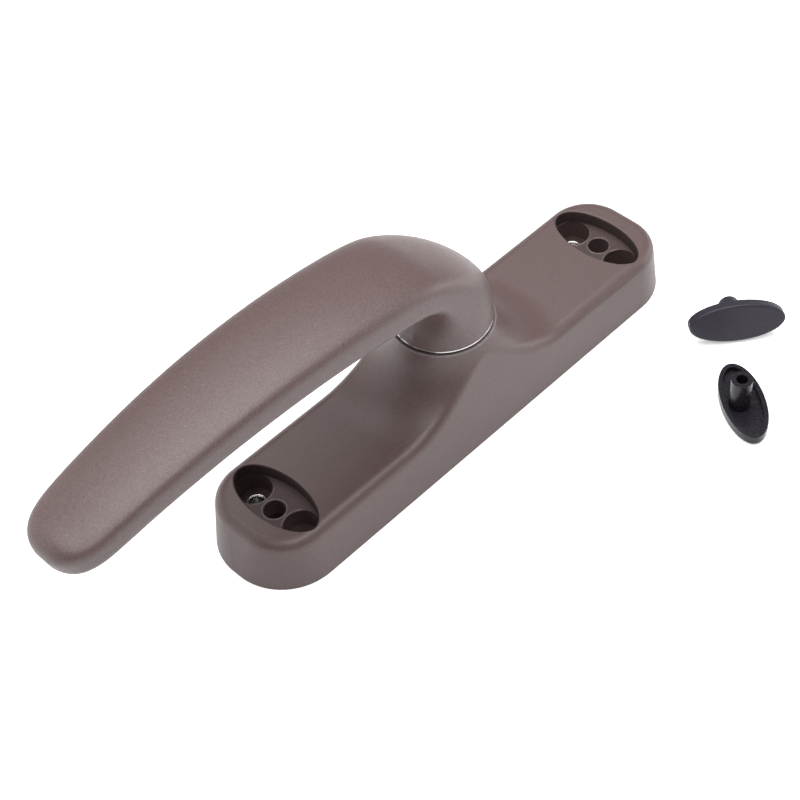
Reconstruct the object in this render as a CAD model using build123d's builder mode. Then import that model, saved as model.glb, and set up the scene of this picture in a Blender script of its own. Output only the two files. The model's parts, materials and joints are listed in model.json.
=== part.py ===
"""Sliding door handle: a crank lever on a screw-on base, with its two screw caps taken off.

Millimetres, +Z out of the door. The origin is on the spindle axis, in the base's back plane,
and the base's length runs along Y. At rest the lever points to -Y, along the base.
"""

import os
from math import asin, atan2, cos, degrees, pi, radians, sin, tan

from build123d import *

# Fits shared by several pieces
running_fit = 0.05
push_fit = 0.02
stack_gap = 0.05

# Base casting: a drafted block with two flat pads and a flared boss that carries the collar
base_length = 156.4
base_width = 35.4
side_draft = 5.5
end_draft = 11.7
foot_corner_radius = 16.3
pad_corner_radius = 11.9
pad_height = 15.9
pad_edge_radius = 3.2
collar_height = 32.6
collar_step = 0.6
collar_edge_radius = 0.4
flare_foot_radius = 33.0
wall_thickness = 3.0

# Screw recesses: one across each end, each with two screw holes and a hole for the cap's stem
recess_inset = 16.2
recess_length = 28.0
recess_width = 13.8
recess_depth = 4.0
recess_edge_radius = 0.4
screw_hole_spacing = 17.6
counterbore_diameter = 9.6
counterbore_depth = 5.7
thread_bore_diameter = 4.2
clearance_hole_diameter = 5.5
stem_hole_diameter = 6.0
stem_hole_depth = 8.6
stem_offset = 1.0

# Back of the base: mechanism chamber and lightening pockets
chamber_radius = 14.2
chamber_roof = 10.6
pocket_rib = 2.0
pocket_corner_radius = 2.0

# Back plate and its screws
plate_length = 50.0
plate_corner_radius = 4.0
plate_thickness = 1.5
plate_recess = 0.2
plate_side_gap = 0.15
plate_opening_diameter = 12.0
plate_screw_inset = 5.0
plate_screw_diameter = 3.0
plate_screw_head_diameter = 5.6
plate_screw_head_angle = 90.0
plate_screw_length = 8.0
plate_screw_slot_width = 0.8
plate_screw_slot_depth = 0.7
screw_head_gap = 0.05

# Neck stack: bush flange, bright ring, lever neck
neck_radius = 13.4
bush_wall = 1.45
bush_flange_thickness = 0.4
bush_flange_step = 0.3
ring_thickness = 0.8
ring_edge_radius = 0.25

# Lever: neck, bend and bowed grip along one spine
neck_rise = 1.8
bend_radius = 25.2
bend_angle = 79.0
bow_radius = 219.0
grip_length = 107.2
grip_width = 28.3
grip_thickness = 12.7
tip_narrowing = 8.0
tip_thinning = 2.4
crown_exponent = 2.2
side_exponent = 4.4
width_blend_length = 48.0
thickness_blend_length = 28.0
tip_plan_length = 13.0
tip_plan_exponent = 2.4
tip_edge_length = 4.4
tip_edge_exponent = 2.1

# Lever spigot and the pieces held on it
spigot_radius = 7.5
spigot_shoulder = 1.0
spigot_flats = 11.0
spigot_end_gap = 0.8
spindle_size = 7.1
spindle_socket_depth = 25.0
disc_thickness = 2.5
disc_roof_gap = 0.1
disc_rim_gap = 1.0
disc_notch_gap = 0.5
disc_spring_height = 1.6
disc_spring_stock = 0.7
disc_spring_bore_gap = 0.7
disc_spring_outer_radius = 11.0
thrust_washer_thickness = 1.0
circlip_thickness = 1.0
circlip_width = 2.0
circlip_groove_depth = 0.5
circlip_mouth = 4.5
circlip_ear_radius = 1.4
circlip_ear_hole_radius = 0.6

# Stop pin
stop_pin_diameter = 3.0
stop_pin_length = 9.5
stop_pin_overlap = 0.4
stop_gap = 0.1

# Screw caps: thin elliptical moulding with a hollow stem
cap_end_gap = 0.6
cap_side_gap = 1.0
cap_skirt = 2.9
cap_face_thickness = 1.4
cap_skirt_wall = 1.3
cap_face_edge_radius = 0.7
cap_stem_gap = 0.1
cap_stem_end_gap = 0.1
cap_stem_bore = 3.2
cap_stem_web = 1.5

# Where the two loose caps lie: the middle of the face and the direction of the long axis
cap_1_center = (45.2, 68.8)
cap_1_heading = 50.5
cap_2_center = (61.5, 50.3)
cap_2_heading = 142.6

# Sizes of the base that follow from the sizes above
collar_radius = neck_radius + collar_step
recess_spacing = base_length - 2 * recess_inset
recess_y = recess_spacing / 2
recess_floor = pad_height - recess_depth
screw_x = screw_hole_spacing / 2
counterbore_floor = recess_floor - counterbore_depth
stem_hole_floor = recess_floor - stem_hole_depth
plate_width = base_width - 2 * (wall_thickness + plate_side_gap)
plate_screw_spacing_x = plate_width - 2 * plate_screw_inset
plate_screw_spacing_y = plate_length - 2 * plate_screw_inset
plate_top = plate_recess + plate_thickness
pocket_start = plate_length / 2 + plate_side_gap + pocket_rib
pocket_end = recess_y - recess_width / 2 - 2 * wall_thickness
pocket_length = (pocket_end - pocket_start - pocket_rib) / 2

# Levels and radii along the spindle axis that follow
ring_bottom = collar_height + bush_flange_thickness
neck_bottom = ring_bottom + ring_thickness + stack_gap
disc_top = chamber_roof - disc_roof_gap
disc_bottom = disc_top - disc_thickness
spring_top = disc_bottom - stack_gap
spring_bottom = spring_top - disc_spring_height
washer_top = spring_bottom - stack_gap
washer_bottom = washer_top - thrust_washer_thickness
circlip_top = washer_bottom - stack_gap
circlip_bottom = circlip_top - circlip_thickness
spigot_end = plate_top + spigot_end_gap
spigot_end_radius = spigot_radius - spigot_shoulder
spigot_groove_radius = spigot_end_radius - circlip_groove_depth
bush_bore_radius = spigot_radius + running_fit
bush_outer_radius = bush_bore_radius + bush_wall
collar_bore_radius = bush_outer_radius + push_fit
stop_pin_radius = stop_pin_diameter / 2
stop_pin_circle_radius = (collar_bore_radius + chamber_radius) / 2
stop_pin_bottom = disc_bottom - stop_pin_overlap

os.makedirs("parts", exist_ok=True)


def double_d(radius, across_flats):
    """Round section with two flats that face +Y and -Y."""
    with BuildSketch() as section:
        Circle(radius)
        Rectangle(2 * radius, across_flats, mode=Mode.INTERSECT)
    return section.sketch


def corner_cut():
    """What the round corner at +X +Y leaves out of the block: its radius shrinks with the height."""
    margin = foot_corner_radius
    with BuildPart() as cut:
        for level in (0, collar_height):
            radius = foot_corner_radius - (foot_corner_radius - pad_corner_radius) * level / pad_height
            center_x = base_width / 2 - level * tan(radians(side_draft)) - radius
            center_y = base_length / 2 - level * tan(radians(end_draft)) - radius
            with BuildSketch(Plane.XY.offset(level)):
                with Locations((center_x, center_y)):
                    Rectangle(radius + margin, radius + margin, align=(Align.MIN, Align.MIN))
                    Circle(radius, mode=Mode.SUBTRACT)
        loft(ruled=True)
    return cut.part


# Base casting
with BuildPart() as base:
    # the drafted block: its ends lean in more than its sides, and its corners are round
    from_foot = (Align.CENTER, Align.MIN)
    with BuildSketch(Plane.XZ):
        Trapezoid(base_width, collar_height, 90 - side_draft, align=from_foot)
    extrude(amount=base_length / 2, both=True)
    with BuildSketch(Plane.YZ):
        Trapezoid(base_length, collar_height, 90 - end_draft, align=from_foot)
    extrude(amount=base_width / 2, both=True, mode=Mode.INTERSECT)
    corner = corner_cut()
    for part_of_cut in (corner, corner.mirror(Plane.YZ)):
        add(part_of_cut, mode=Mode.SUBTRACT)
        add(part_of_cut.mirror(Plane.XZ), mode=Mode.SUBTRACT)

    # the pads, the flare that rises from them and the round collar, all turned about the spindle axis
    with BuildSketch(Plane.XZ):
        with BuildLine():
            Polyline(
                (collar_radius, collar_height),
                (0, collar_height),
                (0, 0),
                (base_length, 0),
                (base_length, pad_height),
                (flare_foot_radius, pad_height),
            )
            TangentArc((flare_foot_radius, pad_height), (collar_radius, collar_height), tangent=(-1, 0))
        make_face()
    revolve(axis=Axis.Z, mode=Mode.INTERSECT)

    # one rounded crease runs round the top: along the pads' edges and over the boss
    upper_edges = base.edges().filter_by(lambda edge: edge.center().Z > pad_height - stack_gap)
    fillet(upper_edges.filter_by(lambda edge: edge.geom_type != GeomType.CIRCLE), radius=pad_edge_radius)
    fillet(base.faces().sort_by(Axis.Z)[-1].edges(), radius=collar_edge_radius)

    # cap recesses, each an ellipse across the base, with a softened rim
    with BuildSketch(Plane.XY.offset(recess_floor)):
        with Locations((0, recess_y), (0, -recess_y)):
            Ellipse(recess_length / 2, recess_width / 2)
    extrude(amount=recess_depth, mode=Mode.SUBTRACT)
    recess_walls = base.faces().filter_by(
        lambda face: recess_floor < face.center().Z < pad_height
        and face.bounding_box().min.Z > recess_floor - stack_gap
        and abs(abs(face.center().Y) - recess_y) < recess_width / 2
    )
    rims = recess_walls.edges().filter_by(lambda edge: edge.bounding_box().min.Z > recess_floor + stack_gap)
    fillet(rims, radius=recess_edge_radius)

    # screw holes: threaded on the -X side, clear on the +X side, and the stem hole between them
    with BuildSketch(Plane.XY.offset(counterbore_floor)):
        with GridLocations(screw_hole_spacing, recess_spacing, 2, 2):
            Circle(counterbore_diameter / 2)
    extrude(amount=counterbore_depth, mode=Mode.SUBTRACT)
    with BuildSketch():
        with GridLocations(0, recess_spacing, 1, 2):
            with Locations((-screw_x, 0)):
                Circle(thread_bore_diameter / 2)
            with Locations((screw_x, 0)):
                Circle(clearance_hole_diameter / 2)
    extrude(amount=counterbore_floor, mode=Mode.SUBTRACT)
    with BuildSketch(Plane.XY.offset(stem_hole_floor)):
        with Locations((0, recess_y + stem_offset), (0, -recess_y - stem_offset)):
            Circle(stem_hole_diameter / 2)
    extrude(amount=stem_hole_depth, mode=Mode.SUBTRACT)

    # collar bore, mechanism chamber and the seat of the back plate
    with BuildSketch():
        Circle(collar_bore_radius)
    extrude(amount=collar_height, mode=Mode.SUBTRACT)
    with BuildSketch():
        Circle(chamber_radius)
    extrude(amount=chamber_roof, mode=Mode.SUBTRACT)
    with BuildSketch():
        RectangleRounded(
            plate_width + 2 * plate_side_gap,
            plate_length + 2 * plate_side_gap,
            plate_corner_radius + plate_side_gap,
        )
    extrude(amount=plate_top, mode=Mode.SUBTRACT)
    with BuildSketch(Plane.XY.offset(plate_top)):
        with GridLocations(plate_screw_spacing_x, plate_screw_spacing_y, 2, 2):
            Circle(plate_screw_diameter / 2 + push_fit)
    extrude(amount=plate_screw_length, mode=Mode.SUBTRACT)
    with BuildSketch(Plane.XY.offset(stop_pin_bottom)):
        with Locations((0, stop_pin_circle_radius)):
            Circle(stop_pin_radius + push_fit)
    extrude(amount=stop_pin_length, mode=Mode.SUBTRACT)

    # lightening pockets, two at each end with a rib between them
    with BuildSketch():
        for side in (1, -1):
            for start in (pocket_start, pocket_start + pocket_length + pocket_rib):
                with Locations((0, side * (start + pocket_length / 2))):
                    RectangleRounded(base_width - 2 * wall_thickness, pocket_length, pocket_corner_radius)
    extrude(amount=pad_height - wall_thickness, taper=side_draft, mode=Mode.SUBTRACT)
base.part.label = "base_casting"
export_step(base.part, "parts/base_casting.step")


# Neck bush: flanged nylon sleeve in the collar's bore
with BuildPart() as bush:
    with BuildSketch(Plane.XY.offset(chamber_roof)):
        Circle(bush_outer_radius)
    extrude(amount=collar_height - chamber_roof)
    with BuildSketch(Plane.XY.offset(collar_height)):
        Circle(neck_radius - bush_flange_step)
    extrude(amount=bush_flange_thickness)
    with BuildSketch(Plane.XY.offset(chamber_roof)):
        Circle(bush_bore_radius)
    extrude(amount=ring_bottom - chamber_roof, mode=Mode.SUBTRACT)
bush.part.label = "neck_bush"
export_step(bush.part, "parts/neck_bush.step")


# Bright ring between the lever's neck and the collar
with BuildPart() as ring:
    with BuildSketch(Plane.XY.offset(ring_bottom)):
        Circle(neck_radius)
        Circle(bush_bore_radius, mode=Mode.SUBTRACT)
    extrude(amount=ring_thickness)
    fillet(ring.edges().filter_by(GeomType.CIRCLE).sort_by(SortBy.RADIUS)[-2:], radius=ring_edge_radius)
ring.part.label = "bright_ring"
export_step(ring.part, "parts/bright_ring.step")


# Lever spine: straight out of the neck, round the bend, then along the bowed grip
with BuildLine(Plane.YZ) as spine:
    rise = Line((0, neck_bottom), (0, neck_bottom + neck_rise))
    bend = JernArc(start=rise @ 1, tangent=rise % 1, radius=bend_radius, arc_size=bend_angle)
    JernArc(start=bend @ 1, tangent=bend % 1, radius=bow_radius, arc_size=degrees(grip_length / bow_radius))
spine_wire = spine.wire()
bend_end = neck_rise + bend_radius * radians(bend_angle)
spine_length = bend_end + grip_length


def ease(share):
    """Smooth step from 0 to 1."""
    share = min(max(share, 0), 1)
    return share * share * (3 - 2 * share)


def closing(distance, length, exponent):
    """Share of the full size that is left where the tip rounds off over its last length."""
    inside = min(max((distance - spine_length + length) / length, 0), 1)
    return (1 - inside**exponent) ** (1 / exponent)


def lever_section(distance):
    """Half width, half thickness and the two roundness exponents of the lever's section."""
    width_share = ease(distance / width_blend_length)
    thickness_share = ease(distance / thickness_blend_length)
    past_blend = max(distance - width_blend_length, 0) / (spine_length - width_blend_length)
    half_width = neck_radius + (grip_width / 2 - neck_radius) * width_share - tip_narrowing / 2 * past_blend**2
    half_thickness = neck_radius + (grip_thickness / 2 - neck_radius) * thickness_share - tip_thinning / 2 * past_blend
    half_width *= closing(distance, tip_plan_length, tip_plan_exponent)
    half_thickness *= closing(distance, tip_edge_length, tip_edge_exponent)
    crown = 2 + (crown_exponent - 2) * thickness_share
    side = 2 + (side_exponent - 2) * thickness_share
    return half_width, half_thickness, crown, side


def half_outline(distance, steps=16):
    """Points from the top of a section round its +X side to its bottom."""
    half_width, half_thickness, crown, side = lever_section(distance)
    points = [(0, half_thickness)]
    for step in range(1, steps):
        angle = pi / 2 - pi * step / steps
        across = half_width * cos(angle) ** (2 / crown)
        upward = half_thickness * abs(sin(angle)) ** (2 / side)
        points.append((across, upward if angle > 0 else -upward))
    points.append((0, -half_thickness))
    return points


# sections sit close together in the bend and at the tip, where the shape changes fastest
bend_steps = 8
grip_steps = 10
tip_angles = (0, 25, 45, 60, 72, 81)
tip_start = spine_length - tip_plan_length
stations = [bend_end * step / bend_steps for step in range(bend_steps)]
stations += [bend_end + (tip_start - bend_end) * step / grip_steps for step in range(grip_steps)]
stations += [tip_start + tip_plan_length * sin(radians(angle)) for angle in tip_angles]

with BuildPart() as lever:
    for station in stations:
        share = station / spine_length
        section_plane = Plane(origin=spine_wire @ share, x_dir=(1, 0, 0), z_dir=spine_wire % share)
        with BuildSketch(section_plane):
            with BuildLine():
                Spline(*half_outline(station), tangents=[(1, 0), (-1, 0)])
                mirror(about=Plane.YZ)
            make_face()
    loft()

    # the spigot: round in the bush, with flats and a circlip groove below it
    with BuildSketch(Plane.XY.offset(disc_top)):
        Circle(spigot_radius)
    extrude(amount=neck_bottom - disc_top)
    with BuildSketch(Plane.XY.offset(spigot_end)):
        add(double_d(spigot_end_radius, spigot_flats))
    extrude(amount=disc_top - spigot_end)
    with BuildSketch(Plane.XY.offset(circlip_bottom)):
        Circle(spigot_radius)
        Circle(spigot_groove_radius, mode=Mode.SUBTRACT)
    extrude(amount=circlip_thickness, mode=Mode.SUBTRACT)
    with BuildSketch(Plane.XY.offset(spigot_end)):
        Rectangle(spindle_size, spindle_size)
    extrude(amount=spindle_socket_depth, mode=Mode.SUBTRACT)
lever.part.label = "lever"
export_step(lever.part, "parts/lever.step")


# Limit disc: its full-radius half meets the stop pin a quarter turn to either side
disc_radius = chamber_radius - disc_rim_gap
disc_notch_radius = stop_pin_circle_radius - stop_pin_radius - disc_notch_gap
with BuildPart() as limit_disc:
    with BuildSketch(Plane.XY.offset(disc_bottom)):
        Circle(disc_radius)
        with Locations((0, -stop_pin_radius - stop_gap)):
            Rectangle(2 * disc_radius, 2 * disc_radius, align=(Align.CENTER, Align.MIN), mode=Mode.SUBTRACT)
        Circle(disc_notch_radius)
        add(double_d(spigot_end_radius + push_fit, spigot_flats + 2 * push_fit), mode=Mode.SUBTRACT)
    extrude(amount=disc_thickness)
limit_disc.part.label = "limit_disc"
export_step(limit_disc.part, "parts/limit_disc.step")


# Stop pin: stands in the chamber's roof and reaches down past the disc
with BuildPart() as stop_pin:
    with BuildSketch(Plane.XY.offset(stop_pin_bottom)):
        with Locations((0, stop_pin_circle_radius)):
            Circle(stop_pin_radius)
    extrude(amount=stop_pin_length)
stop_pin.part.label = "stop_pin"
export_step(stop_pin.part, "parts/stop_pin.step")


# Disc spring: a cone that bears on the disc at its inner edge and on the washer at its outer edge
disc_spring_inner_radius = spigot_end_radius + disc_spring_bore_gap
with BuildPart() as disc_spring:
    with BuildSketch(Plane.XZ):
        with BuildLine():
            Polyline(
                (disc_spring_inner_radius, spring_top),
                (disc_spring_outer_radius, spring_bottom + disc_spring_stock),
                (disc_spring_outer_radius, spring_bottom),
                (disc_spring_inner_radius, spring_top - disc_spring_stock),
                close=True,
            )
        make_face()
    revolve(axis=Axis.Z)
disc_spring.part.label = "disc_spring"
export_step(disc_spring.part, "parts/disc_spring.step")


# Thrust washer between the disc spring and the circlip
with BuildPart() as thrust_washer:
    with BuildSketch(Plane.XY.offset(washer_bottom)):
        Circle(disc_spring_outer_radius)
        Circle(spigot_end_radius + running_fit, mode=Mode.SUBTRACT)
    extrude(amount=thrust_washer_thickness)
thrust_washer.part.label = "thrust_washer"
export_step(thrust_washer.part, "parts/thrust_washer.step")


# Circlip: open ring with two eared ends
circlip_inner_radius = spigot_groove_radius + push_fit
circlip_outer_radius = circlip_inner_radius + circlip_width
ear_angle = degrees(asin((circlip_mouth / 2 + circlip_ear_radius) / circlip_outer_radius))
with BuildPart() as circlip:
    with BuildSketch(Plane.XY.offset(circlip_bottom)):
        Circle(circlip_outer_radius)
        for turn in (ear_angle, -ear_angle):
            with PolarLocations(circlip_outer_radius, 1, start_angle=90 + turn):
                Circle(circlip_ear_radius)
        Circle(circlip_inner_radius, mode=Mode.SUBTRACT)
        Rectangle(circlip_mouth, 2 * circlip_outer_radius, align=(Align.CENTER, Align.MIN), mode=Mode.SUBTRACT)
        for turn in (ear_angle, -ear_angle):
            with PolarLocations(circlip_outer_radius, 1, start_angle=90 + turn):
                Circle(circlip_ear_hole_radius, mode=Mode.SUBTRACT)
    extrude(amount=circlip_thickness)
circlip.part.label = "circlip"
export_step(circlip.part, "parts/circlip.step")


# Back plate: closes the chamber, with an opening for the spindle
with BuildPart() as back_plate:
    with BuildSketch(Plane.XY.offset(plate_recess)):
        RectangleRounded(plate_width, plate_length, plate_corner_radius)
        Circle(plate_opening_diameter / 2, mode=Mode.SUBTRACT)
    extrude(amount=plate_thickness)
    with Locations(Plane(origin=(0, 0, plate_recess), z_dir=(0, 0, -1))):
        with GridLocations(plate_screw_spacing_x, plate_screw_spacing_y, 2, 2):
            CounterSinkHole(
                radius=plate_screw_diameter / 2 + screw_head_gap,
                counter_sink_radius=plate_screw_head_diameter / 2 + screw_head_gap,
                counter_sink_angle=plate_screw_head_angle,
            )
back_plate.part.label = "back_plate"
export_step(back_plate.part, "parts/back_plate.step")


# Back plate screws: four countersunk slotted screws
screw_radius = plate_screw_diameter / 2
screw_head_radius = plate_screw_head_diameter / 2
screw_head_height = (screw_head_radius - screw_radius) / tan(radians(plate_screw_head_angle / 2))
slot_size = (2 * screw_head_radius, plate_screw_slot_width, plate_screw_slot_depth)
from_head = (Align.CENTER, Align.CENTER, Align.MIN)
with BuildPart() as plate_screws:
    with Locations((0, 0, plate_recess)):
        with GridLocations(plate_screw_spacing_x, plate_screw_spacing_y, 2, 2):
            Cone(screw_head_radius, screw_radius, screw_head_height, align=from_head)
            Cylinder(screw_radius, plate_screw_length, align=from_head)
            Box(*slot_size, align=from_head, mode=Mode.SUBTRACT)
plate_screws.part.label = "back_plate_screws"
export_step(plate_screws.part, "parts/back_plate_screws.step")


# Screw caps: their stem fits the stem hole, and keeps the cap the right way round
cap_half_length = recess_length / 2 - cap_end_gap
cap_half_width = recess_width / 2 - cap_side_gap
cap_stem_radius = stem_hole_diameter / 2 - cap_stem_gap
cap_stem_reach = cap_skirt + stem_hole_depth - cap_stem_end_gap


def screw_cap(face):
    """Screw cap whose outer face lies in the given plane, long axis along the plane's X."""
    with BuildPart() as cap:
        with BuildSketch(face.offset(-cap_skirt)):
            Ellipse(cap_half_length, cap_half_width)
        extrude(amount=cap_skirt)
        outer_face = cap.faces().sort_by(Axis(face.origin, face.z_dir))[-1]
        fillet(outer_face.edges(), radius=cap_face_edge_radius)
        with BuildSketch(face.offset(-cap_skirt)):
            Ellipse(cap_half_length - cap_skirt_wall, cap_half_width - cap_skirt_wall)
        extrude(amount=cap_skirt - cap_face_thickness, mode=Mode.SUBTRACT)
        with BuildSketch(face.offset(-cap_stem_reach)):
            with Locations((0, -stem_offset)):
                Circle(cap_stem_radius)
        extrude(amount=cap_stem_reach - cap_face_thickness)
        with BuildSketch(face.offset(-cap_stem_reach)):
            with Locations((0, -stem_offset)):
                Circle(cap_stem_bore / 2)
        extrude(amount=cap_stem_reach - cap_face_thickness - cap_stem_web, mode=Mode.SUBTRACT)
    return cap


# First cap: leans on its rim and on the edge of its stem's end, face up
lean = atan2(cap_stem_reach - cap_skirt, cap_half_width - cap_stem_radius - stem_offset)
cap_1_turn = radians(cap_1_heading)
cap_1_height = cap_half_width * sin(lean) + cap_skirt * cos(lean)
cap_1 = screw_cap(
    Plane(
        origin=(*cap_1_center, cap_1_height),
        x_dir=(cos(cap_1_turn), sin(cap_1_turn), 0),
        z_dir=(sin(lean) * sin(cap_1_turn), -sin(lean) * cos(cap_1_turn), cos(lean)),
    )
)
cap_1.part.label = "screw_cap_1"
export_step(cap_1.part, "parts/screw_cap_1.step")

# Second cap: lies on its face, stem up
cap_2_turn = radians(cap_2_heading)
cap_2 = screw_cap(
    Plane(
        origin=(*cap_2_center, 0),
        x_dir=(cos(cap_2_turn), sin(cap_2_turn), 0),
        z_dir=(0, 0, -1),
    )
)
cap_2.part.label = "screw_cap_2"
export_step(cap_2.part, "parts/screw_cap_2.step")
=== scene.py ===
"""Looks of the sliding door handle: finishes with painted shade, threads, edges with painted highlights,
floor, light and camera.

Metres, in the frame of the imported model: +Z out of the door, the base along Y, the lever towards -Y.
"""

import json
import math

import bpy
from mathutils import Matrix, Vector


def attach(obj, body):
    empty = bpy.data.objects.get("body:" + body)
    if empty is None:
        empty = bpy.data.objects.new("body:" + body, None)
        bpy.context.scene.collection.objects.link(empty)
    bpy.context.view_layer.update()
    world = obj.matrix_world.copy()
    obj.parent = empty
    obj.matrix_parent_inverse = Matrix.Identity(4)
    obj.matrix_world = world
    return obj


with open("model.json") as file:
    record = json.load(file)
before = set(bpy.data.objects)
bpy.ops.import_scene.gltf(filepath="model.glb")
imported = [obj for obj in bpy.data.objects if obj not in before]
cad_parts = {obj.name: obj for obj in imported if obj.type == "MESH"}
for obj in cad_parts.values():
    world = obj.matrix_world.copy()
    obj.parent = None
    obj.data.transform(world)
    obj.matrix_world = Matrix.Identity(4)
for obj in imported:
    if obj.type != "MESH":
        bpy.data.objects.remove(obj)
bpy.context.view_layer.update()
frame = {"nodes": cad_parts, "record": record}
nodes = frame["nodes"]
mounts = {mount["name"]: mount for mount in frame["record"]["mounts"]}
tapped_holes = mounts["threaded_holes"]
MM_PER_METRE = 1000

# Camera, solved from the photograph's 800 by 800 pixels
IMAGE_PIXELS = 800
FOCAL_PIXELS = 1823.3
VIEW_AZIMUTH = math.radians(48.343)
VIEW_ELEVATION = math.radians(48.824)
VIEW_ROLL = math.radians(-5.287)
VIEW_DISTANCE = 0.49793
ORIGIN_PIXEL = (447.48, 399.09)
CLIP_START = 0.01

# Screw recesses of the base casting, each with a tapped and a plain hole and a hole for the cap's stem
RECESS_Y = tapped_holes["dims"]["spacing_y_mm"] / 2 / MM_PER_METRE
SCREW_X = -tapped_holes["pos_m"][0]
BORE_RADIUS = tapped_holes["dims"]["hole_r_mm"] / MM_PER_METRE
RECESS_HALF_LENGTH = 0.0140
RECESS_HALF_WIDTH = 0.0069
PAD_HEIGHT = 0.0159
RECESS_FLOOR = 0.0119
COUNTERBORE_RADIUS = 0.0048
COUNTERBORE_FLOOR = 0.0062
STEM_HOLE_RADIUS = 0.0030
STEM_OFFSET = 0.0010

# Thread in the tapped holes and the bare rim round it
THREAD_PITCH = 0.0008
THREAD_DEPTH = 0.0004
THREAD_SINK = 0.00018
THREAD_BOTTOM = 0.0003
THREAD_STAND = 0.00004
THREAD_TOP = COUNTERBORE_FLOOR + THREAD_STAND
THREAD_RUN_OUT = 0.0004
THREAD_FLANK_SLOPE = 1.25
THREAD_RIM_WIDTH = 0.00045
RIM_RADIUS = 0.00022
RIM_SINK = 0.00008

# Rounded lip of coat round each hole; LIP_REACH, where it starts to dive into the floor, is a squared share
# of the way to the recess's wall
LIP_RADIUS = 0.00032
LIP_SINK = 0.00021
LIP_END_SINK = 0.0004
LIP_REACH = 0.25

# Collar of the base casting, and the rounded edge on it with a painted highlight
COLLAR_RADIUS = 0.0140
COLLAR_HEIGHT = 0.0326
COLLAR_EDGE_INSET = 0.00030
COLLAR_EDGE_RADIUS = 0.00036

# Fineness of the turned pieces: steps round a full turn, and points along their sections
THREAD_STEPS = 72
LIP_STEPS = 96
COLLAR_STEPS = 144
THREAD_POINTS_PER_PITCH = 8
ROUND_SECTION_POINTS = 12

# Colours, as linear values
PAINT_COLOR = (0.103, 0.0685, 0.0660)
CAP_FACE_COLOR = (0.0255, 0.0215, 0.0330)
# Painted shade: the same plastic as the face, darker for the cap that shows its inside
CAP_INSIDE_SHADED_COLOR = (0.0150, 0.0125, 0.0180)
STEEL_COLOR = (0.62, 0.62, 0.62)
RING_COLOR = (0.56, 0.53, 0.54)
# Painted highlight on the lips round the holes
LIP_HIGHLIGHT_COLOR = (0.110, 0.080, 0.077)
# Painted highlight on the collar's rounded top edge
COLLAR_EDGE_HIGHLIGHT_COLOR = (0.190, 0.160, 0.160)
RIM_COLOR = (0.82, 0.79, 0.75)
# Painted shade: the thread's metal is a darker copy of the rim's, down in the bore
SHADED_THREAD_COLOR = (0.36, 0.34, 0.33)
ZINC_COLOR = (0.66, 0.67, 0.68)
NYLON_COLOR = (0.012, 0.011, 0.011)
FLOOR_COLOR = (0.92, 0.92, 0.92)
HORIZON_COLOR = (0.28, 0.28, 0.28)
CEILING_COLOR = (0, 0, 0)

# Coat: contrast of its grain, noise that shows as pale flecks, their strength, and depth of its orange peel
BASE_GRAIN = 0.08
LEVER_GRAIN = 0.125
FLECK_BAND = (0.64, 0.80)
FLECK_STRENGTH = 1.4
PEEL_DEPTH = 0.000035

# Caps: how far their roughness varies to each side
CAP_ROUGHNESS_SPREAD = 0.06

# Depths in a screw recess, from 0 on the pad to 1 in the back plane: its floors, and how far its rim, the
# edge of a hole and the change of shade above a floor reach
FLOOR_DEPTH = 1 - RECESS_FLOOR / PAD_HEIGHT
COUNTERBORE_DEPTH = 1 - COUNTERBORE_FLOOR / PAD_HEIGHT
RECESS_RIM_DEPTH = 0.04
HOLE_EDGE_DEPTH = 0.03
STEP_DEPTH = 0.02

# Painted shade down a recess: share of the coat's colour that is left at depths: pad, wall, floor, hole,
# counterbore, bore
RECESS_PAINTED_SHADE = (
    (0, 1.0),
    (RECESS_RIM_DEPTH, 0.54),
    (FLOOR_DEPTH - STEP_DEPTH, 0.48),
    (FLOOR_DEPTH, 0.60),
    (FLOOR_DEPTH + HOLE_EDGE_DEPTH, 0.85),
    (COUNTERBORE_DEPTH - STEP_DEPTH, 0.95),
    (COUNTERBORE_DEPTH, 0.50),
    (1.0, 0.60),
)

# Roughness that the coat gains down to the back plane; specular level on the pad and in a counterbore
RECESS_DULLNESS = 0.5
RECESS_SPECULAR = (0.5, 0.05)

# Where a recess's painted shade and duller coat fade out: squared shares of the way to its wall, and
# heights above the back plane
RECESS_FADE = (1.0, 1.12)
BACK_FADE = (0.0001, 0.0004)

# Floor, just under the part
FLOOR_HALF_SIZE = 3.0
FLOOR_DROP = 0.0002

# Glow that the floor has for the camera and in reflections, besides the light that falls on it: near the
# part, and rising to 1 between two distances from it
FLOOR_GLOW = 0.45
GLOW_REACH = (0.22, 0.60)

# Height on the unit sphere where the room's grey horizon ends and where its dark ceiling starts
HORIZON_TOP = 0.38
CEILING_START = 0.70

# Softboxes: where each one is, the point it faces, its size and its power in watts
SOFTBOXES = {
    "overhead": {
        "place": (0, 0, 0.80), "target": (0, 0, 0), "width": 0.95, "height": 0.95, "power": 12.8,
    },
    "left_wall": {
        "place": (-0.80, -0.60, 0.40), "target": (0, 0, 0.05), "width": 1.2, "height": 0.8, "power": 3.5,
    },
    "right_wall": {
        "place": (0.45, 0.90, 0.25), "target": (0, 0, 0.05), "width": 0.7, "height": 0.6, "power": 3.5,
    },
}


def scaled(color, factor):
    return tuple(channel * factor for channel in color)


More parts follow.
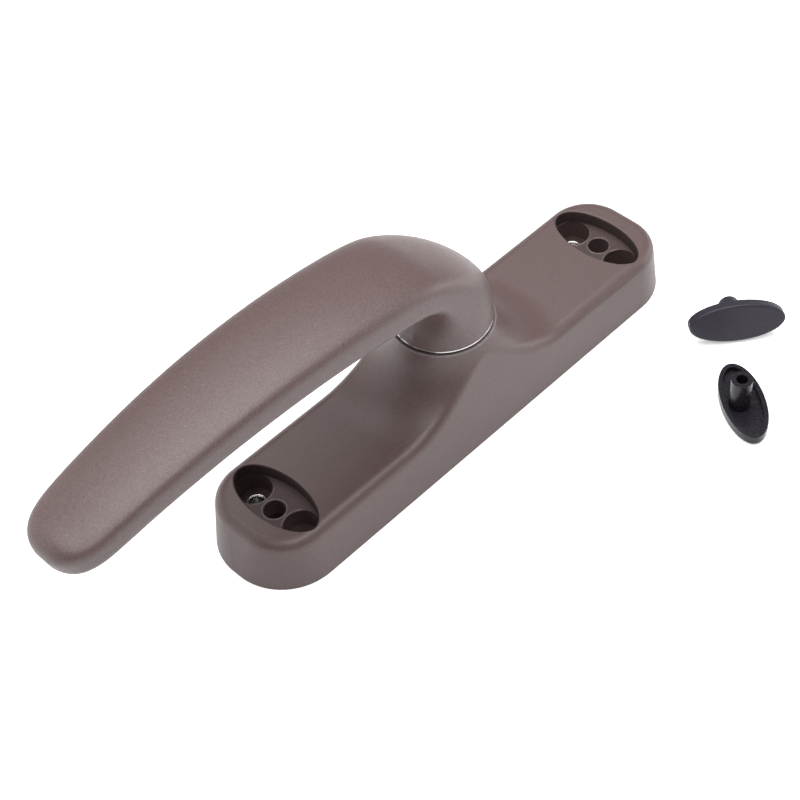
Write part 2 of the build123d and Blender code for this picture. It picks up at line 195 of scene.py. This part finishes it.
class Shader:
    """A principled material, with short calls for the nodes that shape it."""

    def __init__(self, name, color, roughness, metallic=0.0, specular=0.5):
        self.color = color
        self.material = bpy.data.materials.new(name)
        self.material.use_nodes = True
        self.tree = self.material.node_tree
        self.surface = self.tree.nodes["Principled BSDF"]
        self.surface.inputs["Base Color"].default_value = (*color, 1)
        self.surface.inputs["Roughness"].default_value = roughness
        self.surface.inputs["Metallic"].default_value = metallic
        self.surface.inputs["Specular IOR Level"].default_value = specular
        self.place = self.node("ShaderNodeTexCoord").outputs["Object"]

    def node(self, kind, **settings):
        made = self.tree.nodes.new(kind)
        for key, value in settings.items():
            setattr(made, key, value)
        return made

    def link(self, output, node, socket):
        self.tree.links.new(output, node.inputs[socket])

    def noise(self, cells, detail):
        """Noise with about this many cells per metre."""
        made = self.node("ShaderNodeTexNoise")
        made.inputs["Scale"].default_value = cells
        made.inputs["Detail"].default_value = detail
        self.link(self.place, made, "Vector")
        return made.outputs["Fac"]

    def remap(self, value, low, high, from_low=0.3, from_high=0.7):
        """Value carried from one range to another; noise mostly lies in the default range."""
        made = self.node("ShaderNodeMapRange")
        made.inputs["From Min"].default_value = from_low
        made.inputs["From Max"].default_value = from_high
        made.inputs["To Min"].default_value = low
        made.inputs["To Max"].default_value = high
        self.link(value, made, "Value")
        return made.outputs["Result"]

    def compute(self, operation, first, second=None):
        """Sum, product or the like of outputs and plain numbers."""
        made = self.node("ShaderNodeMath", operation=operation)
        for socket, value in enumerate((first, second)):
            if isinstance(value, float):
                made.inputs[socket].default_value = value
            elif value is not None:
                self.link(value, made, socket)
        return made.outputs["Value"]

    def tint(self, value, darkest, lightest):
        """Base colour that runs between two shares of the material's colour with a value."""
        made = self.node("ShaderNodeMix", data_type="RGBA", clamp_factor=False)
        made.inputs["A"].default_value = (*scaled(self.color, darkest), 1)
        made.inputs["B"].default_value = (*scaled(self.color, lightest), 1)
        self.link(value, made, "Factor")
        self.link(made.outputs["Result"], self.surface, "Base Color")
        return made.outputs["Result"]

    def shade(self, color, value, stops):
        """Base colour darkened along a value, by stops of (value, share of the colour)."""
        ramp = self.node("ShaderNodeValToRGB")
        elements = ramp.color_ramp.elements
        while len(elements) < len(stops):
            elements.new(0.5)
        for element, (position, share) in zip(elements, stops):
            element.position = position
            element.color = (share, share, share, 1)
        self.link(value, ramp, "Fac")
        made = self.node("ShaderNodeMix", data_type="RGBA", blend_type="MULTIPLY")
        made.inputs["Factor"].default_value = 1.0
        self.link(color, made, "A")
        self.link(ramp.outputs["Color"], made, "B")
        self.link(made.outputs["Result"], self.surface, "Base Color")

    def mottle(self, darkest, lightest, cells, detail):
        """Base colour that varies with noise between two shares of the material's colour."""
        self.tint(self.remap(self.noise(cells, detail), 0, 1), darkest, lightest)

    def polish(self, smoothest, roughest, cells, detail):
        """Roughness that varies with noise between two values."""
        roughness = self.remap(self.noise(cells, detail), smoothest, roughest)
        self.link(roughness, self.surface, "Roughness")
        return roughness

    def bump(self, depth, cells, detail):
        """Surface that noise raises by a depth."""
        made = self.node("ShaderNodeBump")
        made.inputs["Strength"].default_value = 1.0
        made.inputs["Distance"].default_value = depth
        self.link(self.noise(cells, detail), made, "Height")
        self.link(made.outputs["Normal"], self.surface, "Normal")


def recess_depth(shader):
    """Depth in a screw recess: 0 on the pads, outside it and on the door side, near 1 down in its holes."""
    axes = shader.node("ShaderNodeSeparateXYZ")
    shader.link(shader.place, axes, "Vector")
    from_middle = shader.compute("SUBTRACT", shader.compute("ABSOLUTE", axes.outputs["Y"]), RECESS_Y)
    along = shader.compute("DIVIDE", axes.outputs["X"], RECESS_HALF_LENGTH)
    across = shader.compute("DIVIDE", from_middle, RECESS_HALF_WIDTH)
    reach = shader.compute("ADD", shader.compute("POWER", along, 2.0), shader.compute("POWER", across, 2.0))
    inside = shader.remap(reach, 1, 0, *RECESS_FADE)
    above_back = shader.remap(axes.outputs["Z"], 0, 1, *BACK_FADE)
    down = shader.remap(axes.outputs["Z"], 1, 0, 0, PAD_HEIGHT)
    return shader.compute("MULTIPLY", shader.compute("MULTIPLY", inside, above_back), down)


def powder_coat(name, contrast):
    """Satin grey-brown coat with a sandy grain of some contrast, pale flecks and faint orange peel."""
    shader = Shader(name, PAINT_COLOR, roughness=0.42)
    grain = shader.remap(shader.noise(cells=1900, detail=1), 0, 1)
    flecks = shader.remap(shader.noise(cells=2700, detail=0), 0, FLECK_STRENGTH, *FLECK_BAND)
    color = shader.tint(shader.compute("ADD", grain, flecks), 1 - contrast, 1 + contrast)
    sheen = shader.polish(smoothest=0.38, roughest=0.46, cells=900, detail=3)
    shader.bump(PEEL_DEPTH, cells=2200, detail=3)
    return shader, color, sheen


def base_coat():
    """Powder coat with painted shade and a dull finish down in the screw recesses."""
    shader, color, sheen = powder_coat("base_coat", BASE_GRAIN)
    depth = recess_depth(shader)
    # Painted shade: the coat's colour darkened with depth down each recess
    shader.shade(color, depth, RECESS_PAINTED_SHADE)
    dullness = shader.compute("MULTIPLY", depth, RECESS_DULLNESS)
    shader.link(shader.compute("ADD", sheen, dullness), shader.surface, "Roughness")
    specular = shader.remap(depth, *RECESS_SPECULAR, 0, COUNTERBORE_DEPTH)
    shader.link(specular, shader.surface, "Specular IOR Level")
    return shader.material


def lever_coat():
    shader, _, _ = powder_coat("lever_coat", LEVER_GRAIN)
    return shader.material


def polished_metal():
    shader = Shader("polished_ring", RING_COLOR, roughness=0.16, metallic=1.0)
    shader.polish(smoothest=0.12, roughest=0.22, cells=1800, detail=3)
    return shader.material


def plain_steel():
    shader = Shader("plain_steel", STEEL_COLOR, roughness=0.34, metallic=1.0)
    shader.polish(smoothest=0.26, roughest=0.42, cells=1400, detail=3)
    shader.mottle(darkest=0.85, lightest=1, cells=300, detail=3)
    return shader.material


def zinc_plate():
    shader = Shader("zinc_plate", ZINC_COLOR, roughness=0.38, metallic=1.0)
    shader.polish(smoothest=0.30, roughest=0.48, cells=700, detail=3)
    shader.mottle(darkest=0.82, lightest=1, cells=220, detail=4)
    return shader.material


def nylon():
    shader = Shader("black_nylon", NYLON_COLOR, roughness=0.5)
    shader.polish(smoothest=0.44, roughest=0.58, cells=1500, detail=2)
    return shader.material


def cap_plastic(name, color, specular, roughness, grain_depth):
    """Black moulded plastic with a fine spark-eroded grain."""
    shader = Shader(name, color, roughness, specular=specular)
    shader.polish(roughness - CAP_ROUGHNESS_SPREAD, roughness + CAP_ROUGHNESS_SPREAD, cells=1200, detail=2)
    shader.mottle(darkest=0.85, lightest=1.15, cells=2400, detail=2)
    shader.bump(grain_depth, cells=3000, detail=2)
    return shader.material


def pale_edge_highlight_coat(name, color):
    """Pale powder coat on a rounded edge, its lightness a painted highlight."""
    shader = Shader(name, color, roughness=0.36)
    shader.polish(smoothest=0.32, roughest=0.42, cells=900, detail=3)
    shader.mottle(darkest=0.75, lightest=1.2, cells=1500, detail=3)
    return shader.material


def cut_metal(name, color):
    """Bare casting metal, freshly tapped."""
    shader = Shader(name, color, roughness=0.22, metallic=1.0)
    shader.polish(smoothest=0.16, roughest=0.28, cells=2500, detail=3)
    shader.mottle(darkest=0.8, lightest=1, cells=900, detail=2)
    return shader.material


def dress(material, *names):
    """Gives CAD nodes a finish in all their slots."""
    for name in names:
        for slot in nodes[name].material_slots:
            slot.material = material


def dress_nodes():
    """Finish of every CAD node."""
    steel = plain_steel()
    dress(steel, "limit_disc", "stop_pin", "disc_spring", "thrust_washer", "circlip", "back_plate_screws")
    dress(base_coat(), "base_casting")
    dress(lever_coat(), "lever")
    dress(polished_metal(), "bright_ring")
    dress(nylon(), "neck_bush")
    dress(zinc_plate(), "back_plate")
    outer = cap_plastic("cap_face", CAP_FACE_COLOR, specular=0.34, roughness=0.46, grain_depth=0.00001)
    # The second cap's darker colour is painted shade; both caps are the same plastic
    inner = cap_plastic("cap_inside", CAP_INSIDE_SHADED_COLOR, specular=0.28, roughness=0.26, grain_depth=0.000004)
    dress(outer, "screw_cap_1")
    dress(inner, "screw_cap_2")


def add_turned(name, center, profile, steps, material):
    """Closed piece on the base: profile(turn) gives its (radius, height) points at a share of a turn."""
    vertices = []
    for step in range(steps):
        angle = math.tau * step / steps
        for radius, height in profile(step / steps):
            x = center[0] + radius * math.cos(angle)
            y = center[1] + radius * math.sin(angle)
            vertices.append((x, y, height))
    count = len(vertices) // steps
    faces = []
    for step in range(steps):
        here = step * count
        after = (step + 1) % steps * count
        for point in range(count):
            beside = (point + 1) % count
            faces.append((here + point, here + beside, after + beside, after + point))
    mesh = bpy.data.meshes.new(name)
    mesh.from_pydata(vertices, [], faces)
    mesh.shade_smooth()
    mesh.materials.append(material)
    piece = bpy.data.objects.new(name, mesh)
    bpy.context.scene.collection.objects.link(piece)
    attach(piece, "base")


def thread_profile(turn):
    """Section of a tapped sleeve at a share of a turn: only its crests stand out of the bore's wall."""
    outer = BORE_RADIUS + THREAD_RIM_WIDTH
    length = THREAD_TOP - THREAD_BOTTOM
    steps = round(length / THREAD_PITCH * THREAD_POINTS_PER_PITCH)
    points = [(outer, THREAD_TOP), (outer, THREAD_BOTTOM)]
    for step in range(steps + 1):
        height = THREAD_BOTTOM + length * step / steps
        phase = (height / THREAD_PITCH - turn) % 1
        ridge = min(1, THREAD_FLANK_SLOPE * (1 - abs(2 * phase - 1)))
        run_out = min(1, (THREAD_TOP - height) / THREAD_RUN_OUT)
        points.append((BORE_RADIUS + (THREAD_SINK - THREAD_DEPTH * ridge) * run_out, height))
    return points


def round_section(radius, height, section_radius):
    """Circle of (radius, height) points round the point that a radius and a height give."""
    points = []
    for step in range(ROUND_SECTION_POINTS):
        angle = math.tau * step / ROUND_SECTION_POINTS
        across = section_radius * math.cos(angle)
        upward = section_radius * math.sin(angle)
        points.append((radius + across, height + upward))
    return points


def ring_profile(radius, height, section_radius):
    """Profile of a round ring, the same at every turn."""
    section = round_section(radius, height, section_radius)
    return lambda turn: section


def lip_profile(x, from_middle, radius):
    """Profile of the lip round a hole: it dives into the floor where it comes near the recess's wall."""
    def section(turn):
        along = (x + radius * math.cos(math.tau * turn)) / RECESS_HALF_LENGTH
        across = (from_middle + radius * math.sin(math.tau * turn)) / RECESS_HALF_WIDTH
        near_wall = (along**2 + across**2 - LIP_REACH) / (1 - LIP_REACH)
        sink = LIP_SINK + LIP_END_SINK * min(1, max(0, near_wall))
        return round_section(radius + sink, RECESS_FLOOR - sink, LIP_RADIUS)
    return section


def add_hole_details():
    """Thread and bare rim of each tapped hole, and the lips round the holes of both recesses."""
    # The thread is a darker copy of the rim's bare metal: painted shade down in the bore
    shaded_thread_metal = cut_metal("shaded_thread_metal", SHADED_THREAD_COLOR)
    rim_metal = cut_metal("rim_metal", RIM_COLOR)
    # The lips' pale coat is a painted highlight on their rounded edges
    lip_highlight_coat = pale_edge_highlight_coat("pale_edge_highlight_coat", LIP_HIGHLIGHT_COLOR)
    rim_profile = ring_profile(BORE_RADIUS + THREAD_RIM_WIDTH, COUNTERBORE_FLOOR - RIM_SINK, RIM_RADIUS)
    for end, side in (("near", -1), ("far", 1)):
        middle = side * RECESS_Y
        bore = (-SCREW_X, middle)
        add_turned("thread_" + end, bore, thread_profile, THREAD_STEPS, shaded_thread_metal)
        add_turned("thread_rim_" + end, bore, rim_profile, THREAD_STEPS, rim_metal)
        holes = (
            ("tapped", -SCREW_X, 0, COUNTERBORE_RADIUS),
            ("plain", SCREW_X, 0, COUNTERBORE_RADIUS),
            ("stem", 0, side * STEM_OFFSET, STEM_HOLE_RADIUS),
        )
        for hole, x, from_middle, radius in holes:
            center = (x, middle + from_middle)
            profile = lip_profile(x, from_middle, radius)
            add_turned(f"{hole}_lip_{end}", center, profile, LIP_STEPS, lip_highlight_coat)


def add_collar_edge():
    """Rounded edge round the top of the collar, whose pale colour is a painted highlight."""
    coat = pale_edge_highlight_coat("collar_edge", COLLAR_EDGE_HIGHLIGHT_COLOR)
    radius = COLLAR_RADIUS - COLLAR_EDGE_INSET
    height = COLLAR_HEIGHT - COLLAR_EDGE_INSET
    profile = ring_profile(radius, height, COLLAR_EDGE_RADIUS)
    add_turned("collar_edge", (0, 0), profile, COLLAR_STEPS, coat)


def floor_finish():
    """White finish with a glow that only the camera, reflections and rays through clear things meet."""
    shader = Shader("floor", FLOOR_COLOR, roughness=0.9)
    lit = shader.surface.outputs["BSDF"]
    distance = shader.node("ShaderNodeVectorMath", operation="LENGTH")
    shader.link(shader.place, distance, "Vector")
    glow = shader.node("ShaderNodeEmission")
    shader.link(shader.remap(distance.outputs["Value"], FLOOR_GLOW, 1, *GLOW_REACH), glow, "Strength")
    both = shader.node("ShaderNodeAddShader")
    shader.link(lit, both, 0)
    shader.link(glow.outputs["Emission"], both, 1)
    path = shader.node("ShaderNodeLightPath")
    mirrored = shader.compute("MAXIMUM", path.outputs["Is Glossy Ray"], path.outputs["Is Transmission Ray"])
    pick = shader.node("ShaderNodeMixShader")
    shader.link(shader.compute("MAXIMUM", path.outputs["Is Camera Ray"], mirrored), pick, "Fac")
    shader.link(lit, pick, 1)
    shader.link(both.outputs["Shader"], pick, 2)
    shader.link(pick.outputs["Shader"], shader.tree.nodes["Material Output"], "Surface")
    return shader.material


def add_floor():
    """White floor: it lights the part like a white table and keeps its contact shadow."""
    size = FLOOR_HALF_SIZE
    corners = [(x, y, -FLOOR_DROP) for x, y in ((-size, -size), (size, -size), (size, size), (-size, size))]
    mesh = bpy.data.meshes.new("floor")
    mesh.from_pydata(corners, [], [(0, 1, 2, 3)])
    mesh.materials.append(floor_finish())
    floor = bpy.data.objects.new("floor", mesh)
    bpy.context.scene.collection.objects.link(floor)


def add_softbox(name, place, target, width, height, power):
    lamp = bpy.data.lights.new(name, "AREA")
    lamp.shape = "RECTANGLE"
    lamp.size = width
    lamp.size_y = height
    lamp.energy = power
    holder = bpy.data.objects.new(name, lamp)
    holder.location = place
    holder.rotation_euler = (Vector(target) - Vector(place)).to_track_quat("-Z", "Y").to_euler()
    bpy.context.scene.collection.objects.link(holder)


def add_world():
    """Room that is grey along the horizon and dark overhead, but white for the camera."""
    world = bpy.data.worlds.new("room")
    world.use_nodes = True
    tree = world.node_tree
    room = tree.nodes["Background"]
    direction = tree.nodes.new("ShaderNodeTexCoord")
    height = tree.nodes.new("ShaderNodeSeparateXYZ")
    shades = tree.nodes.new("ShaderNodeValToRGB")
    horizon, ceiling = shades.color_ramp.elements
    horizon.position = HORIZON_TOP
    horizon.color = (*HORIZON_COLOR, 1)
    ceiling.position = CEILING_START
    ceiling.color = (*CEILING_COLOR, 1)
    tree.links.new(direction.outputs["Generated"], height.inputs["Vector"])
    tree.links.new(height.outputs["Z"], shades.inputs["Fac"])
    tree.links.new(shades.outputs["Color"], room.inputs["Color"])
    white = tree.nodes.new("ShaderNodeBackground")
    white.inputs["Color"].default_value = (1, 1, 1, 1)
    path = tree.nodes.new("ShaderNodeLightPath")
    pick = tree.nodes.new("ShaderNodeMixShader")
    tree.links.new(path.outputs["Is Camera Ray"], pick.inputs["Fac"])
    tree.links.new(room.outputs["Background"], pick.inputs[1])
    tree.links.new(white.outputs["Background"], pick.inputs[2])
    tree.links.new(pick.outputs["Shader"], tree.nodes["World Output"].inputs["Surface"])
    bpy.context.scene.world = world


def add_camera():
    """Camera at the photograph's place, looking along its view line."""
    flat = math.cos(VIEW_ELEVATION)
    back = Vector((math.sin(VIEW_AZIMUTH) * flat, -math.cos(VIEW_AZIMUTH) * flat, math.sin(VIEW_ELEVATION)))
    level = Vector((math.cos(VIEW_AZIMUTH), math.sin(VIEW_AZIMUTH), 0))
    upright = back.cross(level)
    right = math.cos(VIEW_ROLL) * level + math.sin(VIEW_ROLL) * upright
    up = math.cos(VIEW_ROLL) * upright - math.sin(VIEW_ROLL) * level
    middle = IMAGE_PIXELS / 2
    metres_per_pixel = VIEW_DISTANCE / FOCAL_PIXELS
    across = (ORIGIN_PIXEL[0] - middle) * metres_per_pixel
    upward = (middle - ORIGIN_PIXEL[1]) * metres_per_pixel
    place = VIEW_DISTANCE * back - across * right - upward * up
    lens = bpy.data.cameras.new("camera")
    lens.lens = lens.sensor_width * FOCAL_PIXELS / IMAGE_PIXELS
    lens.clip_start = CLIP_START
    camera = bpy.data.objects.new("camera", lens)
    turn = Matrix((right, up, back)).transposed().to_4x4()
    camera.matrix_world = Matrix.Translation(place) @ turn
    bpy.context.scene.collection.objects.link(camera)
    bpy.context.scene.camera = camera


dress_nodes()
add_hole_details()
add_collar_edge()
add_floor()
for softbox, settings in SOFTBOXES.items():
    add_softbox(softbox, **settings)
add_world()
add_camera()
bpy.context.scene.view_settings.view_transform = "Standard"
